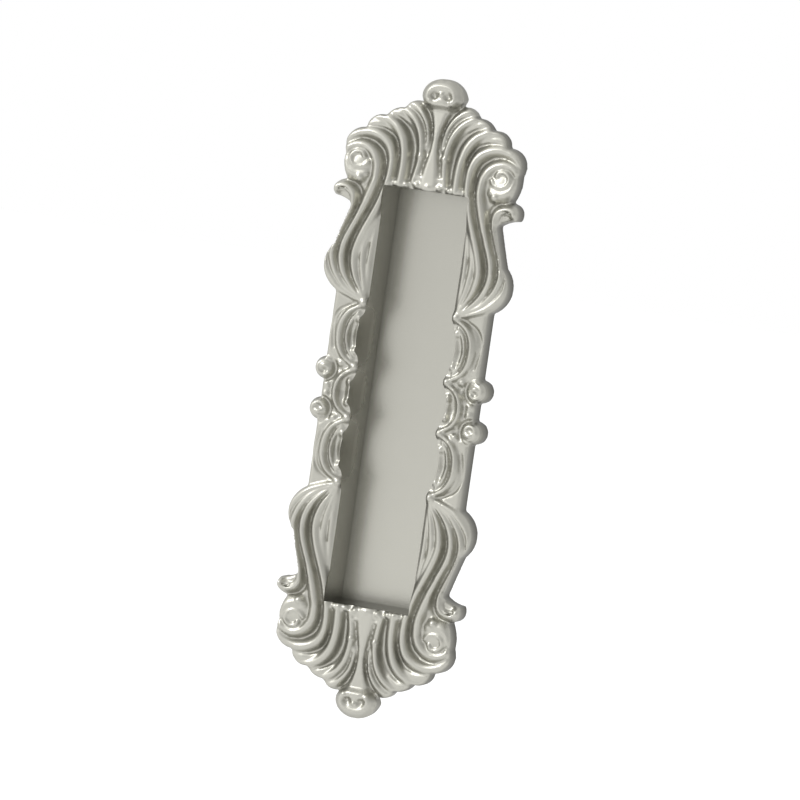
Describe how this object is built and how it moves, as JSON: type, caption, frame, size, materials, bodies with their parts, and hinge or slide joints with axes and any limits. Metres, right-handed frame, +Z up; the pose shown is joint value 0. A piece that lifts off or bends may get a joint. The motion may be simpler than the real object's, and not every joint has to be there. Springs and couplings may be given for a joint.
{
  "type": "flush pull",
  "caption": "Cast flush pull for a sliding door: a long finger cup in a raised frame of rococo scrolls, with curled volutes at the corners and tips and beads at the sides.",
  "frame": {"origin": "centre of the pull, on the door's face", "axes": "+Z up along the pull, -Y out of the door towards the hand, +X across the pull, so that +Y runs into the door"},
  "size_m": [0.0534, 0.018, 0.178],
  "materials": {
    "satin_nickel": "satin"
  },
  "bodies": {
    "root": {"flush_pull": "satin_nickel"}
  },
  "joints": []
}
